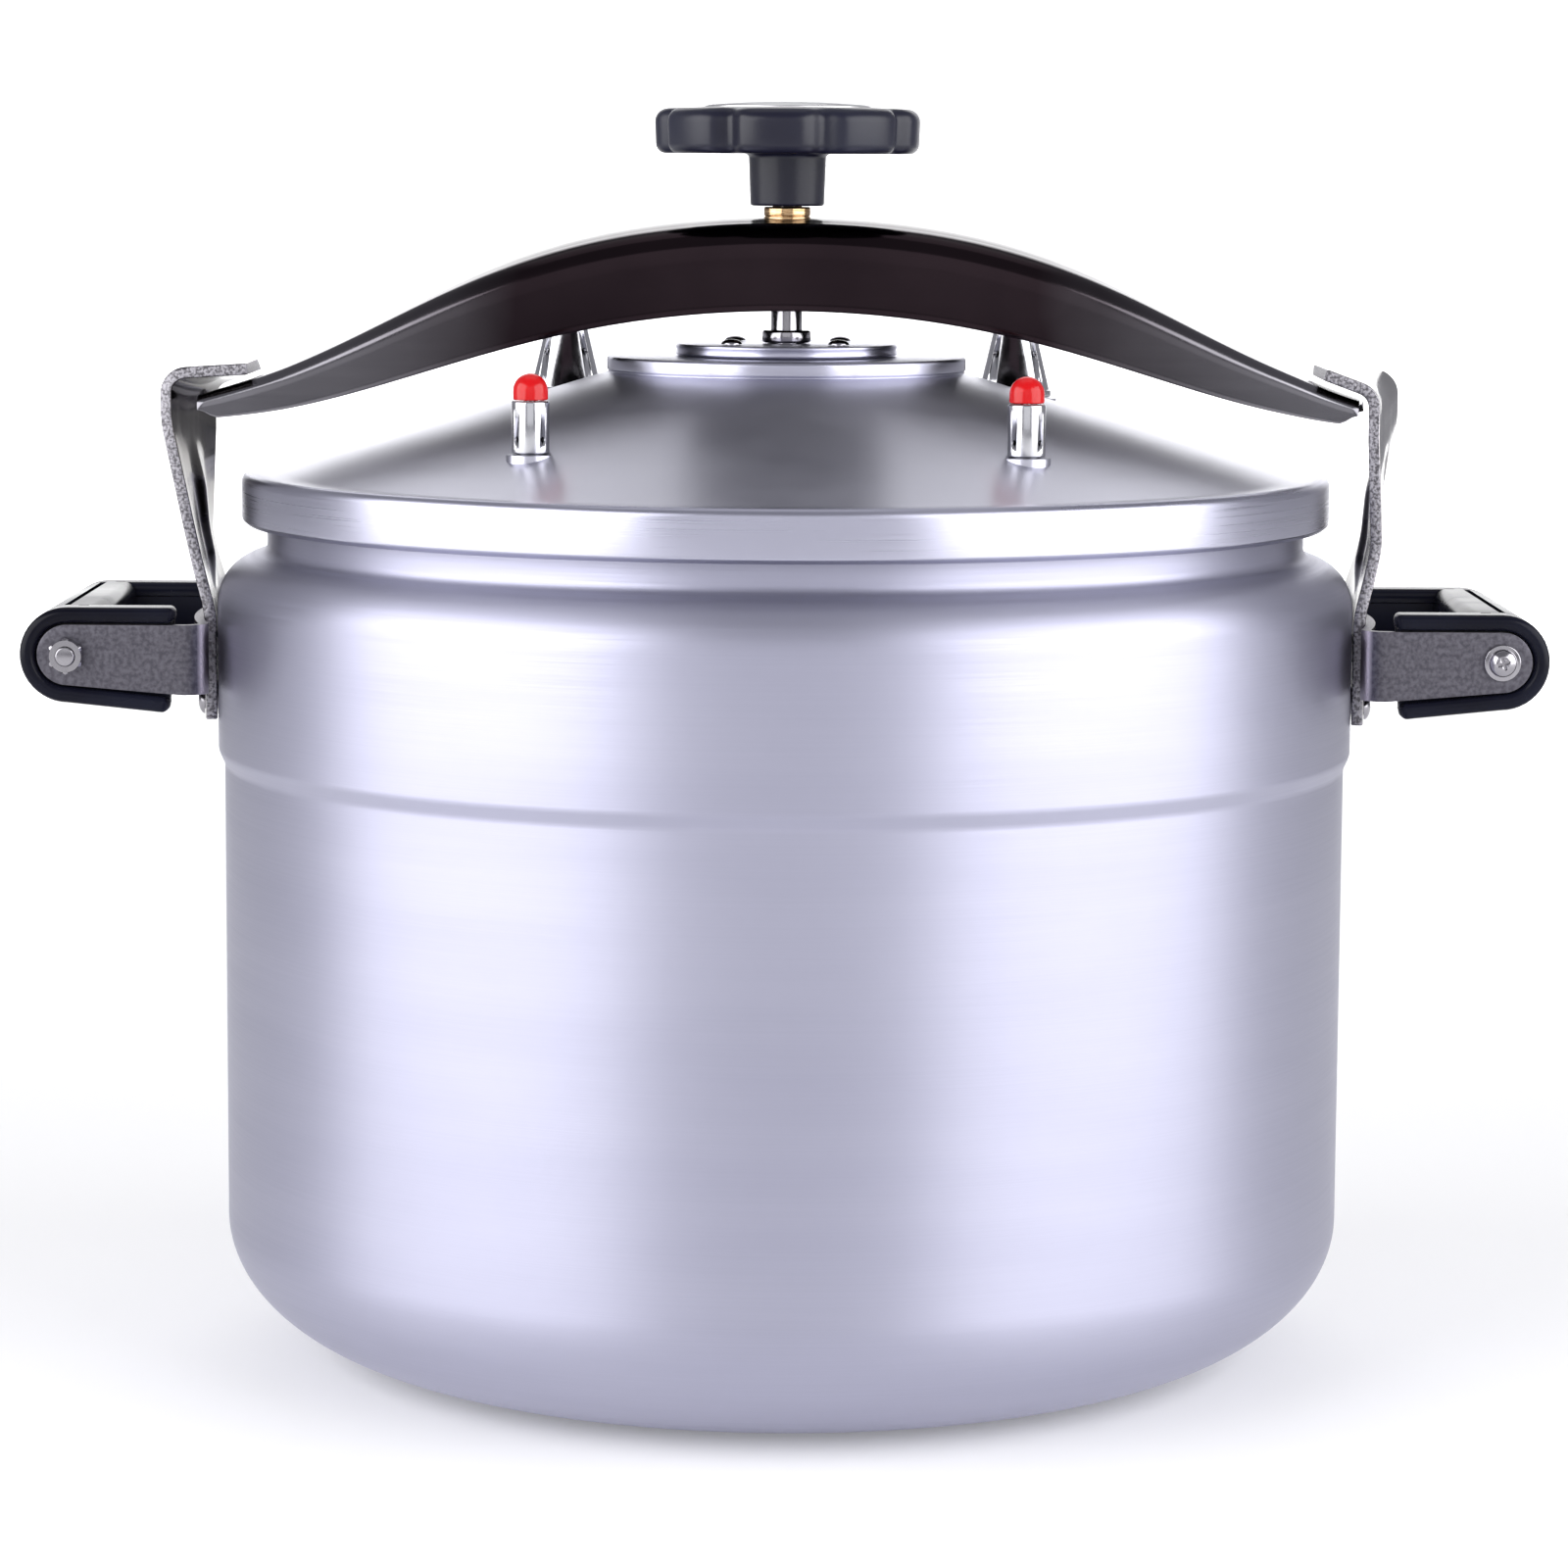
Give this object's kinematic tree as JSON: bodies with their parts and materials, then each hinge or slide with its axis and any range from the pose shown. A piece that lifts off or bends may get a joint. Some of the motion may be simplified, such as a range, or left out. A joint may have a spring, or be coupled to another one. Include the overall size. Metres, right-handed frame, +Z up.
{
  "type": "pressure canner",
  "caption": "Large aluminium pressure canner: domed lid clamped by an arched beam with a screw knob under two side hooks, with safety valves, limit weights and side handles.",
  "frame": {"origin": "on the floor under the pot's centre", "axes": "+X to the right through the two handles, +Y to the back, +Z up"},
  "size_m": [0.479, 0.364, 0.404],
  "materials": {
    "satin_aluminium": "spun and lightly brushed, with fine rings round the pot",
    "smooth_aluminium": "smooth turned aluminium",
    "dark_chrome": "bright dark plating over pressed steel",
    "polished_steel": "polished",
    "blue_black_plastic": "moulded, satin to glossy",
    "silver_cap": "satin spun cap",
    "brass": "turned brass",
    "gasket_rubber": "matt grey rubber",
    "hook_steel": "polished plate with rough sheared edges",
    "matte_plate_steel": "matt mottled plate, bright along the bends",
    "black_bakelite": "glossy bakelite",
    "valve_chrome": "bright chrome on brass",
    "red_plastic": "bright red moulded cap",
    "spring_steel": "bright spring wire"
  },
  "bodies": {
    "pot": {"pot_body": "satin_aluminium", "lid": "smooth_aluminium", "lid_gasket": "gasket_rubber", "pressure_plate": "smooth_aluminium", "plate_rivet_1": "polished_steel", "plate_rivet_2": "polished_steel", "plate_rivet_3": "polished_steel", "plate_rivet_4": "polished_steel", "left_hook": "hook_steel", "left_handle_bracket": "matte_plate_steel", "left_handle_grip": "black_bakelite", "left_handle_bolt": "polished_steel", "left_handle_nut": "polished_steel", "left_mount_rivet_1": "polished_steel", "left_mount_rivet_2": "polished_steel", "left_mount_rivet_3": "polished_steel", "left_mount_rivet_4": "polished_steel", "left_safety_body": "valve_chrome", "left_safety_nut": "brass", "left_vent_pipe": "brass", "left_vent_nut": "brass", "left_vent_screen": "polished_steel", "right_hook": "hook_steel", "right_handle_bracket": "matte_plate_steel", "right_handle_grip": "black_bakelite", "right_handle_bolt": "polished_steel", "right_handle_nut": "polished_steel", "right_mount_rivet_1": "polished_steel", "right_mount_rivet_2": "polished_steel", "right_mount_rivet_3": "polished_steel", "right_mount_rivet_4": "polished_steel", "right_safety_body": "valve_chrome", "right_safety_nut": "brass", "right_vent_pipe": "brass", "right_vent_nut": "brass", "right_vent_screen": "polished_steel"},
    "thrust_collar": {"thrust_collar": "polished_steel"},
    "spindle": {"spindle": "polished_steel", "knob": "blue_black_plastic", "knob_nut": "polished_steel", "knob_cap": "silver_cap"},
    "beam": {"clamp_beam": "dark_chrome", "brass_bush": "brass"},
    "left_safety_plunger": {"left_safety_plunger": "polished_steel", "left_safety_cap": "red_plastic", "left_safety_spring": "spring_steel"},
    "left_limit_weight": {"left_limit_weight": "valve_chrome"},
    "right_safety_plunger": {"right_safety_plunger": "polished_steel", "right_safety_cap": "red_plastic", "right_safety_spring": "spring_steel"},
    "right_limit_weight": {"right_limit_weight": "valve_chrome"}
  },
  "joints": [
    {"name": "beam_swing", "type": "hinge", "parent": "pot", "child": "thrust_collar", "pos_m": [0, 0, 0.327], "axis": [0, 0, 1], "range_deg": [0, 14]},
    {"name": "knob_turn", "type": "hinge", "parent": "thrust_collar", "child": "spindle", "pos_m": [0, 0, 0.35], "axis": [0, 0, 1], "range_deg": [0, 1440]},
    {"name": "beam_travel", "type": "slide", "parent": "thrust_collar", "child": "beam", "axis": [0, 0, 1], "range_m": [-0.006, 0]},
    {"name": "left_safety_lift", "type": "slide", "parent": "pot", "child": "left_safety_plunger", "axis": [0, 0, 1], "range_m": [0, 0.003], "stiffness_N_per_m": 150, "springref_m": -0.004, "deforming": ["left_safety_spring"]},
    {"name": "left_weight_lift", "type": "slide", "parent": "pot", "child": "left_limit_weight", "axis": [0, 0, 1], "range_m": [0, 0.005]},
    {"name": "right_safety_lift", "type": "slide", "parent": "pot", "child": "right_safety_plunger", "axis": [0, 0, 1], "range_m": [0, 0.003], "stiffness_N_per_m": 150, "springref_m": -0.004, "deforming": ["right_safety_spring"]},
    {"name": "right_weight_lift", "type": "slide", "parent": "pot", "child": "right_limit_weight", "axis": [0, 0, 1], "range_m": [0, 0.005]}
  ],
  "couplings": [
    {"joint": "knob_turn", "follows": "beam_travel", "rad_per_m": -4188.8}
  ]
}
